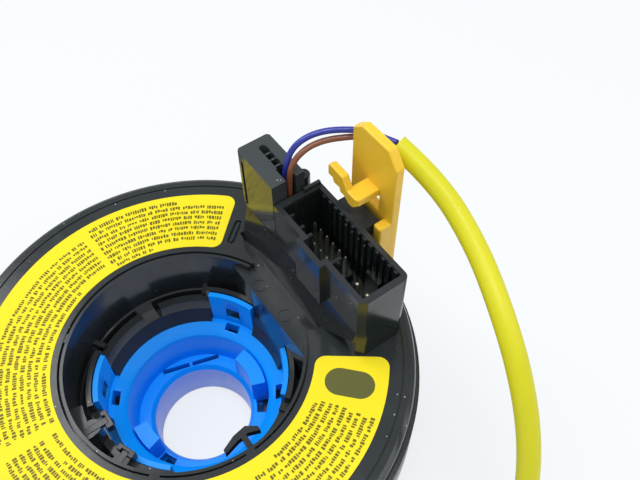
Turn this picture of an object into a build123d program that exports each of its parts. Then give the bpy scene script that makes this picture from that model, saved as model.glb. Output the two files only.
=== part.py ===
from build123d import *
from math import asin, atan2, cos, degrees, hypot, pi, radians, sin, sqrt, tan
import os

os.makedirs("parts", exist_ok=True)

# Steering clock spring: a wound flat cable carries the steering wheel's circuits
# from the fixed case on the column to the disc that turns with the wheel.
# +Z runs up the steering shaft towards the wheel. The origin is on the shaft's
# axis, in the plane that the unit stands on. All sizes are in millimetres.

# Clearances
run_gap = 0.3  # between the turning and the fixed pieces
seat_gap = 0.3  # between the lock key and what it stands on
groove_w = 0.5  # joint line round the opening
snap_gap = 0.25  # between a snap tab and its pocket

# Levels
top_z = 44.0  # top face of the cover, which carries the label
cover_t = 2.2
plate_z = top_z - cover_t
skirt_z = 40.3  # lower edge of the cover's rim
case_top_z = skirt_z - run_gap
floor_z = 27.0  # underside of the case
floor_t = 2.0
sleeve_bottom_z = 22.4
cam_bottom_z = 0.5
ring_z = 21.8  # top of the cam ring's outer annulus
well_z = 12.2  # top of the cam ring's inner annulus

# Radii
opening_r = 26.9
disc_w = 25.1  # width of the disc from the opening to its rim
rim_t = 1.8
case_wall = 1.8
sleeve_wall = 2.0
lip_t = 0.7
drum_wall = 1.6
collar_wall = 2.1
tube_wall = 1.3
label_t = 0.15

cover_r = opening_r + disc_w
case_r = cover_r + 1.1
case_r_in = case_r - case_wall
sleeve_r = opening_r + sleeve_wall
cover_r_in = opening_r + lip_t + groove_w
collar_r_in = sleeve_r + run_gap
collar_r_out = collar_r_in + collar_wall
drum_r = collar_r_out + run_gap + drum_wall
label_r_in = cover_r_in + 1.4
label_r_out = cover_r - 5.9
rim_groove_r = cover_r - 2.85
inner_ring_r = opening_r - 2.5
annulus_r = inner_ring_r - 6.8
shaft_bore_r = annulus_r - 5.3
floor_top_z = floor_z + floor_t

# Lock key
key_x0 = -3.4
key_x1 = 12.8
key_t = 2.3
key_y0 = cover_r - 0.9 - key_t
key_top_z = 86.3
key_foot_x0 = 8.5
key_foot_x1 = 11.2
key_foot_y0 = key_y0 - 3.0
key_foot_z = 65.7
plate_y1 = key_y0 + key_t

# Connector on the disc, along a chord at the +Y side
conn_x0 = -8.1
conn_x1 = 24.0
conn_y0 = cover_r_in + 2.9
conn_y1 = key_y0 - 5.4
conn_d = conn_y1 - conn_y0
conn_h = 22.0
conn_wall = 1.3
conn_end_wall = 1.6
socket_floor_h = 5.0
conn_top_z = top_z + conn_h
socket_floor_z = top_z + socket_floor_h
bay_x0 = 2.2
bay_x1 = 11.2
bay_out = 1.5
bay_z = 51.7  # lower end of the bay
skirt_out = 2.3  # how far the front's skirt stands out at its foot
skirt_top_z = 53.0
skirt_x1 = conn_x1 - 1.5
pin_pitch = 2.37
pin_x0 = -4.05
pin_row_y = (conn_y0 + 0.653 * conn_d, conn_y0 + 0.379 * conn_d)
pin_size = 0.64
pin_tip_z = 58.0
power_x = (14.9, 18.5)
power_y = conn_y0 + 0.476 * conn_d
power_size = 1.2

# Terminal box for the airbag wires, at the connector's left end
box_x0 = -22.8
box_x1 = -8.4
box_y1 = conn_y1 - 3.8
box_z0 = 54.0
box_z1 = 71.5

# Ledge behind the connector that the lock key hooks over
ledge_x0 = -1.8
ledge_x1 = 8.2
ledge_y1 = key_y0 - 0.9
ledge_z = 65.0

# Flat cables in the chamber: a coil on the drum, a loop and a coil on the wall
band_t = 0.5  # two flat cables lying together
band_z0 = 30.6
band_z1 = 38.8
half_step = 0.45  # growth of a coil's radius with each half turn
inner_half_turns = 4
outer_half_turns = 3
carrier_t = 1.0
carrier_z = floor_top_z + run_gap
wall_r1 = case_r_in - 0.45 - band_t / 2
wall_r0 = wall_r1 - (outer_half_turns - 1) * half_step

# Airbag lead
wire_d = 1.4
lead_d = 4.8


def rounded_route(points, name, d):
    """Route of straight runs and tangent arcs, with the radius at each corner."""
    pts = [Vector(*p) for p in points]
    radii = []
    for a, b, c in zip(pts, pts[1:], pts[2:]):
        turn = radians((b - a).get_angle(c - b))
        radii.append(0.45 * min((b - a).length, (c - b).length) / tan(turn / 2))
    print(name, "radii in diameters", [round(r / d, 1) for r in radii])
    return pts, radii


def sector(r0, r1, az0, az1):
    """Flat ring sector between two radii and two directions, in degrees."""
    arc = az1 - az0
    edges = [
        CenterArc((0, 0), r1, az0, arc, mode=Mode.PRIVATE),
        CenterArc((0, 0), r0, az0, arc, mode=Mode.PRIVATE),
    ]
    edges.append(Line(edges[0] @ 0, edges[1] @ 0, mode=Mode.PRIVATE))
    edges.append(Line(edges[0] @ 1, edges[1] @ 1, mode=Mode.PRIVATE))
    return make_face(edges, mode=Mode.PRIVATE)


# Fixed case on the steering column

screw_az = (-30.0, 90.0, 210.0)
screw_r = (collar_r_out + case_r) / 2 + 0.8
screw_hole_r = 1.4
boss_r = 3.6
boss_h = 9.0
rib_h = 3.0
column_x = 13.0  # half length of the column connector, which lies at -Y
column_y0 = -(case_r - 2.6)
column_y1 = column_y0 + 0.608 * (case_r_in - drum_r)
column_z0 = 8.0
column_wall = 1.3
column_socket_h = 14.0
neck_x = 11.0
neck_y0 = column_y0 + 1.5
neck_y1 = column_y1 - 1.5
fin_x = 6.0
fin_r = wall_r0 + band_t / 2 + 0.1
column_pin_pitch = 2.5
column_mid_y = (column_y0 + column_y1) / 2
column_pin_rows = (column_mid_y - 1.6, column_mid_y + 1.6)
column_pin_x = [column_pin_pitch * (i - 3.5) for i in range(8)]
column_squib_x = (-1.25, 1.25)
column_pin_z = column_z0 + 4.0
column_pin_top_z = floor_z + 1.0

with BuildPart() as lower_case:
    with BuildSketch(Plane.XZ):
        with BuildLine():
            Polyline(
                (collar_r_in, 0),
                (collar_r_out, 0),
                (collar_r_out, floor_z),
                (case_r - 1.2, floor_z),
                (case_r, floor_z + 1.2),
                (case_r, case_top_z),
                (case_r_in, case_top_z),
                (case_r_in, floor_top_z),
                (collar_r_in, floor_top_z),
                close=True,
            )
        make_face()
    revolve(axis=Axis.Z)
    # bead under the sleeve, which carries the turning pieces
    with BuildSketch(Plane.XZ):
        with BuildLine():
            Polyline(
                (collar_r_in, sleeve_bottom_z - run_gap),
                (collar_r_in - 1.2, sleeve_bottom_z - run_gap),
                (collar_r_in - 1.2, sleeve_bottom_z - run_gap - 1.0),
                (collar_r_in, sleeve_bottom_z - run_gap - 2.2),
                close=True,
            )
        make_face()
    revolve(axis=Axis.Z)
    # windows in the collar, where the switch reaches the cam
    with BuildSketch(Plane.YZ.offset(-collar_r_out - 1)):
        with Locations((0, 8.0)):
            RectangleRounded(16, 9, 1.5)
    extrude(amount=2 * (collar_r_out + 1), mode=Mode.SUBTRACT)
    # ribs under the floor
    with BuildSketch(Plane.XY.offset(floor_z)):
        with PolarLocations((collar_r_out + case_r) / 2, 6):
            Rectangle(case_r - collar_r_out - 3, 1.4)
    extrude(amount=-rib_h)
    # screw bosses with blind holes
    with BuildSketch(Plane.XY.offset(floor_z)):
        with PolarLocations(screw_r, 3, start_angle=screw_az[0]):
            Circle(boss_r)
    extrude(amount=-boss_h)
    with BuildSketch(Plane.XY.offset(floor_z - boss_h)):
        with PolarLocations(screw_r, 3, start_angle=screw_az[0]):
            Circle(screw_hole_r)
    extrude(amount=boss_h - 0.8, mode=Mode.SUBTRACT)
    # opening in the floor for the terminal block
    with BuildSketch(Plane.XY.offset(floor_z)):
        with Locations((0, (neck_y0 + neck_y1) / 2)):
            Rectangle(2 * neck_x, neck_y1 - neck_y0)
        with Locations((0, (neck_y0 - case_r_in + 0.6) / 2)):
            Rectangle(2 * fin_x, neck_y0 + case_r_in - 0.6)
    extrude(amount=floor_t, mode=Mode.SUBTRACT)
lower_case.part.label = "lower_case"
export_step(lower_case.part, "parts/lower_case.step")

with BuildPart() as column_connector:
    with BuildSketch(Plane.XY.offset(column_z0)):
        with Locations((0, column_mid_y)):
            RectangleRounded(2 * column_x, column_y1 - column_y0, 1.2)
    extrude(amount=floor_z - column_z0)
    with BuildSketch(Plane.XY.offset(column_z0)):
        with Locations((0, column_mid_y)):
            Rectangle(2 * (column_x - column_wall), column_y1 - column_y0 - 2 * column_wall)
    extrude(amount=column_socket_h, mode=Mode.SUBTRACT)
    # latch window in the outer long side
    with BuildSketch(Plane.XZ.offset(-column_y0 + 1)):
        with Locations((0, column_z0 + 6.0)):
            Rectangle(6.0, 2.4)
    extrude(amount=-1.0 - column_wall, mode=Mode.SUBTRACT)
    # seats of the pins
    with BuildSketch(Plane.XY.offset(column_z0 + column_socket_h)):
        for y in column_pin_rows:
            with Locations(*[(x, y) for x in column_pin_x]):
                Rectangle(pin_size, pin_size)
        with Locations(*[(x, column_mid_y) for x in column_squib_x]):
            Rectangle(pin_size, pin_size)
    extrude(amount=floor_z - column_z0 - column_socket_h, mode=Mode.SUBTRACT)
column_connector.part.label = "column_connector"
export_step(column_connector.part, "parts/column_connector.step")

with BuildPart() as column_pins:
    with BuildSketch(Plane.XY.offset(column_pin_z)):
        for y in column_pin_rows:
            with Locations(*[(x, y) for x in column_pin_x]):
                Rectangle(pin_size, pin_size)
    extrude(amount=column_pin_top_z - column_pin_z)
column_pins.part.label = "column_pins"
export_step(column_pins.part, "parts/column_pins.step")

with BuildPart() as column_squib_pins:
    with BuildSketch(Plane.XY.offset(column_pin_z)):
        with Locations(*[(x, column_mid_y) for x in column_squib_x]):
            Rectangle(pin_size, pin_size)
    extrude(amount=column_pin_top_z - column_pin_z)
column_squib_pins.part.label = "column_squib_pins"
export_step(column_squib_pins.part, "parts/column_squib_pins.step")

# block in the floor that joins the column pins to the outer coil's end
with BuildPart() as column_terminal_block:
    with BuildSketch(Plane.XY.offset(floor_z)):
        with Locations((0, (neck_y0 + neck_y1) / 2)):
            Rectangle(2 * neck_x, neck_y1 - neck_y0)
        with Locations((0, (neck_y0 - case_r_in + 0.6) / 2)):
            Rectangle(2 * fin_x, neck_y0 + case_r_in - 0.6)
    extrude(amount=floor_t)
    with BuildSketch(Plane.XY.offset(floor_top_z)):
        with Locations((0, -case_r_in)):
            Rectangle(2 * fin_x, 2 * (case_r_in - fin_r) + 4)
        Circle(case_r_in, mode=Mode.INTERSECT)
        Circle(fin_r, mode=Mode.SUBTRACT)
    extrude(amount=band_z1 - floor_top_z)
    with BuildSketch(Plane.XY.offset(floor_z)):
        for y in column_pin_rows:
            with Locations(*[(x, y) for x in column_pin_x]):
                Rectangle(pin_size, pin_size)
        with Locations(*[(x, column_mid_y) for x in column_squib_x]):
            Rectangle(pin_size, pin_size)
    extrude(amount=column_pin_top_z - floor_z, mode=Mode.SUBTRACT)
column_terminal_block.part.label = "column_terminal_block"
export_step(column_terminal_block.part, "parts/column_terminal_block.step")

# Flat cables. Each coil is half circles about two centres, half_step apart.

coil_r0 = drum_r + 0.3 + band_t
coil_r1 = coil_r0 + inner_half_turns * half_step
block_az = 8.0  # half width of the inner terminal block, in degrees

with BuildPart() as flat_cable_inner:
    with BuildSketch(Plane.XY.offset(band_z0)):
        with BuildLine():
            for side in (-band_t / 2, band_t / 2):
                CenterArc((0, 0), coil_r0 + side, 90 + block_az, 180 - block_az)
                for k in range(1, inner_half_turns):
                    centre = (0, half_step * (k % 2))
                    CenterArc(centre, coil_r0 + k * half_step + side, 90 + 180 * (k % 2), 180)
            start = Vector(0, coil_r0).rotate(Axis.Z, block_az)
            turn = start.normalized() * (band_t / 2)
            Line(start - turn, start + turn)
            Line((0, coil_r1 - band_t / 2), (0, coil_r1 + band_t / 2))
        make_face()
    extrude(amount=band_z1 - band_z0)
flat_cable_inner.part.label = "flat_cable_inner"
export_step(flat_cable_inner.part, "parts/flat_cable_inner.step")

fin_az = degrees(asin((fin_x + 0.1) / wall_r1))

with BuildPart() as flat_cable_outer:
    with BuildSketch(Plane.XY.offset(band_z0)):
        with BuildLine():
            for side in (-band_t / 2, band_t / 2):
                CenterArc((0, 0), wall_r0 + side, 90, -180)
                CenterArc((0, half_step), wall_r0 + half_step + side, -90, -180)
                CenterArc((0, 0), wall_r1 + side, 90, -180 + fin_az)
            Line((0, wall_r0 - band_t / 2), (0, wall_r0 + band_t / 2))
            end = Vector(0, -wall_r1).rotate(Axis.Z, fin_az)
            turn = end.normalized() * (band_t / 2)
            Line(end - turn, end + turn)
        make_face()
    extrude(amount=band_z1 - band_z0)
flat_cable_outer.part.label = "flat_cable_outer"
export_step(flat_cable_outer.part, "parts/flat_cable_outer.step")

loop_r_in = coil_r1 + band_t + run_gap
loop_r_out = wall_r0 - band_t - run_gap
loop_mid = (loop_r_in + loop_r_out) / 2
loop_r = (loop_r_out - loop_r_in) / 2
loop_tail = 10.0  # degrees that each end lies along its coil

with BuildPart() as flat_cable_loop:
    with BuildSketch(Plane.XY.offset(band_z0)):
        with BuildLine():
            for side in (-band_t / 2, band_t / 2):
                CenterArc((0, 0), loop_r_in + side, 90, -loop_tail)
                CenterArc((0, loop_mid), loop_r - side, -90, -180)
                CenterArc((0, 0), loop_r_out - side, 90, -loop_tail)
            for radius in (loop_r_in, loop_r_out):
                end = Vector(0, radius).rotate(Axis.Z, -loop_tail)
                turn = end.normalized() * (band_t / 2)
                Line(end - turn, end + turn)
        make_face()
    extrude(amount=band_z1 - band_z0)
flat_cable_loop.part.label = "flat_cable_loop"
export_step(flat_cable_loop.part, "parts/flat_cable_loop.step")

# ring that carries the loop round the chamber, with guide posts between the coils
post_r = loop_r - band_t / 2 - 0.3

with BuildPart() as cable_carrier:
    with BuildSketch(Plane.XY.offset(carrier_z)):
        Circle(loop_r_out)
        Circle(loop_r_in, mode=Mode.SUBTRACT)
    extrude(amount=carrier_t)
    with BuildSketch(Plane.XY.offset(carrier_z + carrier_t)):
        with PolarLocations(loop_mid, 5, start_angle=90):
            Circle(post_r)
            Circle(0.75 * post_r, mode=Mode.SUBTRACT)
    extrude(amount=band_z1 - carrier_z - carrier_t)
cable_carrier.part.label = "cable_carrier"
export_step(cable_carrier.part, "parts/cable_carrier.step")

# Turning pieces: the cover disc, which meets the sleeve round the opening

pocket_x0 = -21.3
pocket_x1 = 12.4
pin_gap = 0.1
slot_gap = 0.3
bridge_az = (-134.0, -42.0, 0.0)
recess_r = cover_r_in + 7.2
recess_az = 129.5
signal_x = [pin_x0 + pin_pitch * i for i in range(6)]
signal_at = [(x, pin_row_y[0]) for x in signal_x] + [(x, pin_row_y[1]) for x in signal_x[2:5]]
power_at = [(x, power_y) for x in power_x]
tongue_x = (key_foot_x0 + key_foot_x1) / 2
tongue_y = (key_foot_y0 + key_y0) / 2
tongue_w = 1.9
tongue_l = 2.0
lead_frame_t = plate_z - band_z1 - 0.6

with BuildPart() as rotor_cover:
    with BuildSketch(Plane.XZ):
        with BuildLine():
            Polyline(
                (cover_r_in, plate_z),
                (cover_r_in, top_z),
                (cover_r - 1.2, top_z),
                (cover_r - 0.35, top_z - 0.35),
                (cover_r, top_z - 1.2),
                (cover_r, skirt_z),
                (cover_r - rim_t, skirt_z),
                (cover_r - rim_t, plate_z),
                close=True,
            )
        make_face()
    revolve(axis=Axis.Z)
    # thin groove near the rim
    with BuildSketch(Plane.XY.offset(top_z)):
        Circle(rim_groove_r + 0.2)
        Circle(rim_groove_r - 0.2, mode=Mode.SUBTRACT)
    extrude(amount=-0.4, mode=Mode.SUBTRACT)
    # pocket in front of the connector, down to the sleeve's flange
    with BuildSketch(Plane.XY.offset(top_z)):
        with BuildLine():
            Polyline(
                (pocket_x0, conn_y0 + conn_wall),
                (pocket_x0, conn_y0 - 3.0),
                (pocket_x0 + 1.6, conn_y0 - 3.0),
                (pocket_x0 + 4.7, conn_y0 - 4.5),
                (pocket_x0 + 9.7, conn_y0 - 4.9),
                (pocket_x0 + 9.7, conn_y0 - 9.0),
                (pocket_x1 - 1.1, conn_y0 - 9.0),
                (pocket_x1 - 1.1, conn_y0 - 5.5),
                (pocket_x1, conn_y0 - 2.4),
                (pocket_x1, conn_y0 + conn_wall),
                close=True,
            )
        make_face()
    extrude(amount=-cover_t, mode=Mode.SUBTRACT)
    # holes for the pins and the lock key's tongue
    with BuildSketch(Plane.XY.offset(top_z)):
        with Locations(*signal_at):
            Rectangle(pin_size + pin_gap, pin_size + pin_gap)
        with Locations(*power_at):
            Rectangle(power_size + pin_gap, power_size + pin_gap)
        with Locations((tongue_x, tongue_y)):
            Rectangle(tongue_w + 2 * slot_gap, tongue_l + 2 * slot_gap)
    extrude(amount=skirt_z - top_z, mode=Mode.SUBTRACT)
    # groove round a narrow tongue beside the label's end
    with BuildSketch(Plane.XY.offset(top_z)):
        with PolarLocations(recess_r, 1, start_angle=recess_az):
            SlotOverall(7.5, 1.9)
            SlotOverall(6.3, 0.7, mode=Mode.SUBTRACT)
    extrude(amount=-0.8, mode=Mode.SUBTRACT)
    # marks of the mould's ejector pins
    with BuildSketch(Plane.XY.offset(top_z)):
        with Locations((conn_x1 + 2.5, conn_y0 + 6.0)):
            Circle(2.0)
            Circle(1.8, mode=Mode.SUBTRACT)
    extrude(amount=-0.15, mode=Mode.SUBTRACT)
    # small bridges across the joint line
    with BuildSketch(Plane.XY.offset(top_z - 0.2)):
        for az in bridge_az:
            with PolarLocations(cover_r_in - groove_w / 2 + 0.1, 1, start_angle=az):
                Rectangle(groove_w + 0.2, 2.2)
        Circle(cover_r_in - groove_w, mode=Mode.SUBTRACT)
    extrude(amount=-1.4)
rotor_cover.part.label = "rotor_cover"
export_step(rotor_cover.part, "parts/rotor_cover.step")

# Sleeve: tube, drum, inner ring with snap pockets, chord shelf and pointer

tab_az = (56.7, 123.3, -123.3, -56.7)
tab_half_az = 15.5
tab_r1 = inner_ring_r - 1.4
tab_r0 = tab_r1 - 1.2
tab_top_z = 33.4
window_half_az = 4.9
window_z0 = 24.4
window_z1 = 28.6
web_z = 24.0
inner_ring_z = 30.0
step_z = 28.8
chord_y = opening_r - 4.9
chord_bottom_z = 28.3
chord_wall = 1.4
shelf_z = 42.0
pocket_az = degrees(snap_gap / tab_r1)
bridge_back = 178.0

with BuildPart() as rotor_sleeve:
    with BuildSketch(Plane.XZ):
        with BuildLine():
            Polyline(
                (inner_ring_r - 3.7, sleeve_bottom_z),
                (sleeve_r, sleeve_bottom_z),
                (sleeve_r, plate_z - 1.4),
                (drum_r - drum_wall, plate_z - 1.4),
                (drum_r - drum_wall, band_z0 - 0.6),
                (drum_r, band_z0 - 0.6),
                (drum_r, plate_z),
                (opening_r + lip_t, plate_z),
                (opening_r + lip_t, top_z - 0.2),
                (opening_r, top_z - 0.2),
                (opening_r, step_z + 0.4),
                (opening_r - 0.4, step_z),
                (opening_r - 0.4, web_z),
                (inner_ring_r, web_z),
                (inner_ring_r, inner_ring_z),
                (inner_ring_r - 2.0, inner_ring_z),
                (inner_ring_r - 2.4, inner_ring_z - 3.0),
                close=True,
            )
        make_face()
    revolve(axis=Axis.Z)
    # chord wall and its shelf
    with BuildSketch(Plane.XY.offset(chord_bottom_z)):
        Circle(opening_r + 0.5)
        with Locations((0, chord_y + chord_wall / 2)):
            Rectangle(2 * opening_r, chord_wall, mode=Mode.INTERSECT)
    extrude(amount=shelf_z - chord_bottom_z)
    with BuildSketch(Plane.XY.offset(shelf_z)):
        Circle(opening_r + 0.3)
        with Locations((0, chord_y + opening_r / 2)):
            Rectangle(2 * opening_r, opening_r, mode=Mode.INTERSECT)
    extrude(amount=-1.5)
    # the lip is left off where the connector's skirt comes down
    with BuildSketch(Plane.XY.offset(shelf_z)):
        add(sector(opening_r - 0.5, opening_r + lip_t + 0.2, 62, 115))
    extrude(amount=top_z - shelf_z, mode=Mode.SUBTRACT)
    # marks of the mould's ejector pins
    with BuildSketch(Plane.XY.offset(shelf_z)):
        with Locations((-6.3, chord_y + 2.2), (4.2, chord_y + 2.4)):
            Circle(1.7)
            Circle(1.5, mode=Mode.SUBTRACT)
    extrude(amount=-0.15, mode=Mode.SUBTRACT)
    # thin walls behind the snap tabs
    with BuildSketch(Plane.XY.offset(web_z)):
        for az in tab_az:
            half = tab_half_az + 2.0
            add(sector(tab_r1, inner_ring_r, az - half, az + half))
    extrude(amount=tab_top_z + 0.4 - web_z)
    # pockets for the tabs
    with BuildSketch(Plane.XY.offset(sleeve_bottom_z)):
        for az in tab_az:
            half = tab_half_az + pocket_az
            add(sector(tab_r0 - 1.8, tab_r1 + snap_gap, az - half, az + half))
    extrude(amount=tab_top_z + 1.0 - sleeve_bottom_z, mode=Mode.SUBTRACT)
    # catches in the tabs' windows
    with BuildSketch(Plane.XY.offset(window_z0 + snap_gap)):
        for az in tab_az:
            half = window_half_az - pocket_az
            add(sector(tab_r0 + 0.3, tab_r1 + snap_gap + 0.2, az - half, az + half))
    extrude(amount=window_z1 - window_z0 - 2 * snap_gap)
    # ribs, bridge and stop bracket between the inner ring and the tube
    with BuildSketch(Plane.XY.offset(web_z)):
        for az in (143.0, -147.0):
            with PolarLocations((inner_ring_r + opening_r) / 2, 1, start_angle=az):
                Rectangle(opening_r - inner_ring_r + 1.0, 1.2)
    extrude(amount=31.5 - web_z)
    with BuildSketch(Plane.XY.offset(inner_ring_z - 3.0)):
        add(sector(inner_ring_r - 3.0, inner_ring_r + 0.2, bridge_back - 6, bridge_back + 6))
    extrude(amount=4.0, mode=Mode.SUBTRACT)
    with BuildSketch(Plane((0, 0, 0), (cos(radians(bridge_back)), sin(radians(bridge_back)), 0), (0, 1, 0))):
        with BuildLine():
            Polyline(
                (inner_ring_r - 2.3, web_z),
                (opening_r, web_z),
                (opening_r, web_z + 5.3),
                (opening_r - 1.7, web_z + 3.4),
                (inner_ring_r - 2.3, web_z + 3.0),
                close=True,
            )
        make_face()
    extrude(amount=2.3, both=True)
    # stop bracket at the front, and a small clip beside it
    with BuildSketch(Plane.XY.offset(web_z)):
        add(sector(opening_r - 1.9, opening_r + 0.3, -105, -86))
        add(sector(inner_ring_r - 0.6, opening_r + 0.3, -70, -62))
        with Locations((-0.3, 2.3 - opening_r)):
            Circle(1.9)
    extrude(amount=36.0 - web_z)
    with BuildSketch(Plane.XY.offset(web_z)):
        add(sector(inner_ring_r - 2.2, inner_ring_r + 0.2, 34, 40))
    extrude(amount=inner_ring_z + 1.0 - web_z)
    # pointer at the edge of the opening
    with BuildSketch(Plane.XY.offset(shelf_z + 0.2)):
        with Locations((opening_r - 1.7, 0.8)):
            Rectangle(4.0, 1.3)
        with BuildLine():
            Polyline(
                (opening_r - 2.3, -4.3),
                (opening_r - 3.3, -4.2),
                (opening_r - 4.7, -1.0),
                (opening_r - 5.2, 2.2),
                (opening_r - 3.6, 4.5),
                (opening_r - 2.5, 4.5),
                (opening_r - 3.5, 2.0),
                (opening_r - 3.3, -0.6),
                close=True,
            )
        make_face()
    extrude(amount=-2.0)
rotor_sleeve.part.label = "rotor_sleeve"
export_step(rotor_sleeve.part, "parts/rotor_sleeve.step")

# Cam ring: the blue hub on the shaft, with the turn signal's cancelling cam
annulus_z = 20.6
cam_r = inner_ring_r - 1.4
cam_z0 = 3.0
cam_h = 5.5

with BuildPart() as cam_ring:
    with BuildSketch(Plane.XZ):
        with BuildLine():
            Polyline(
                (shaft_bore_r, cam_bottom_z),
                (shaft_bore_r + tube_wall, cam_bottom_z),
                (shaft_bore_r + tube_wall, 10.6),
                (annulus_r + 0.3, 10.6),
                (annulus_r + 1.6, 18.9),
                (inner_ring_r - 0.2, 18.9),
                (inner_ring_r - 0.2, sleeve_bottom_z),
                (inner_ring_r - 3.9, sleeve_bottom_z),
                (annulus_r, annulus_z),
                (annulus_r - 1.3, 12.7),
                (annulus_r - 1.3, well_z),
                (shaft_bore_r + 1.0, well_z),
                (shaft_bore_r, 10.8),
                close=True,
            )
        make_face()
    revolve(axis=Axis.Z)
    # cancelling cam, with two lobes
    with BuildSketch(Plane.XY.offset(cam_z0)):
        Circle(annulus_r - 2.1)
        add(sector(shaft_bore_r + 0.5, cam_r, -35, 35))
        add(sector(shaft_bore_r + 0.5, cam_r, 145, 215))
        Circle(shaft_bore_r, mode=Mode.SUBTRACT)
    extrude(amount=cam_h)
    # raised blocks level with the annulus
    with BuildSketch(Plane.XY.offset(10.6)):
        add(sector(shaft_bore_r + 1.1, annulus_r - 0.6, 68, 106))
        add(sector(shaft_bore_r + 1.1, annulus_r - 0.6, -98, -74))
    extrude(amount=annulus_z - 10.6)
    # windows beside the blocks, open down past the cam
    with BuildSketch(Plane.XY.offset(cam_z0 - 1.0)):
        add(sector(shaft_bore_r + 1.7, annulus_r - 0.1, 53, 68))
        add(sector(shaft_bore_r + 1.5, annulus_r - 0.6, -73, -58))
    extrude(amount=annulus_z + 2.0 - cam_z0, mode=Mode.SUBTRACT)
    # straight slits, and a curved one at the back
    with BuildSketch(Plane.XY.offset(well_z)):
        with PolarLocations(shaft_bore_r + 1.8, 1, start_angle=163):
            with GridLocations(0, 8.0, 1, 2):
                Rectangle(1.2, 7.2)
    extrude(amount=-1.6, mode=Mode.SUBTRACT)
    # snap tabs with windows, and the mould's holes at their feet
    with BuildSketch(Plane.XY.offset(sleeve_bottom_z - 1.0)):
        for az in tab_az:
            add(sector(tab_r0, tab_r1, az - tab_half_az, az + tab_half_az))
    extrude(amount=tab_top_z - sleeve_bottom_z + 1.0)
    with BuildSketch(Plane.XY.offset(window_z0)):
        for az in tab_az:
            half = window_half_az
            add(sector(tab_r0 - 1, tab_r1 + 1, az - half, az + half))
    extrude(amount=window_z1 - window_z0, mode=Mode.SUBTRACT)
    with BuildSketch(Plane.XY.offset(sleeve_bottom_z + 1)):
        for az in tab_az:
            with PolarLocations(tab_r0 - 1.6, 1, start_angle=az):
                Rectangle(1.8, 3.7)
    extrude(amount=-6.0, mode=Mode.SUBTRACT)
cam_ring.part.label = "cam_ring"
export_step(cam_ring.part, "parts/cam_ring.step")

# Label on the disc, open where the connector stands
label_az0 = degrees(atan2(conn_y0, box_x0)) + 6.9
label_az1 = degrees(atan2(conn_y0 + 0.75, conn_x1 - 0.75)) + 359.2

with BuildPart() as label:
    with BuildSketch(Plane.XY.offset(top_z)) as label_face:
        add(sector(label_r_in, label_r_out, label_az0, label_az1))
        fillet(label_face.vertices(), 2.5)
    extrude(amount=label_t)
label.part.label = "label"
export_step(label.part, "parts/label.step")

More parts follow.
